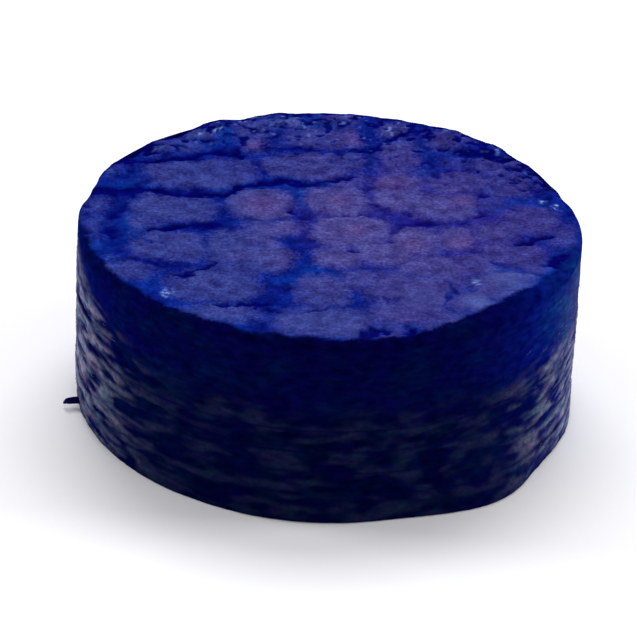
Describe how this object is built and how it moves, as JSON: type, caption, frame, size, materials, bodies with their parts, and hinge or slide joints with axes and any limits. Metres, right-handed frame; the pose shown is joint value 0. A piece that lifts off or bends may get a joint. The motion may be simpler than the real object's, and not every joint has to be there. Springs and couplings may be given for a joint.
{
  "type": "laminated leather cue tip",
  "caption": "Round laminated leather tip for a billiard cue: stacked punched plies on adhesive films, pebbled grain playing face, flat glue base.",
  "frame": {"origin": "centre of the base, the flat face that is glued to the cue's ferrule", "axes": "+Z from the base through the stack to the playing face; +X and +Y lie in the base, and the tip is round, so they are free"},
  "size_m": [0.014, 0.014, 0.0055],
  "materials": {
    "grain_leather": "dyed dark blue, pressed pebble grain, dull sheen",
    "ply_leather": "dyed navy, punched and burnished fibrous edge",
    "adhesive": "thin cured adhesive line, stained by the dye"
  },
  "bodies": {
    "root": {"grain_ply": "grain_leather", "leather_ply_2": "ply_leather", "leather_ply_3": "ply_leather", "leather_ply_4": "ply_leather", "leather_ply_5": "ply_leather", "leather_ply_6": "ply_leather", "leather_ply_7": "ply_leather", "base_ply": "ply_leather", "glue_film_1": "adhesive", "glue_film_2": "adhesive", "glue_film_3": "adhesive", "glue_film_4": "adhesive", "glue_film_5": "adhesive", "glue_film_6": "adhesive", "glue_film_7": "adhesive"}
  },
  "joints": []
}
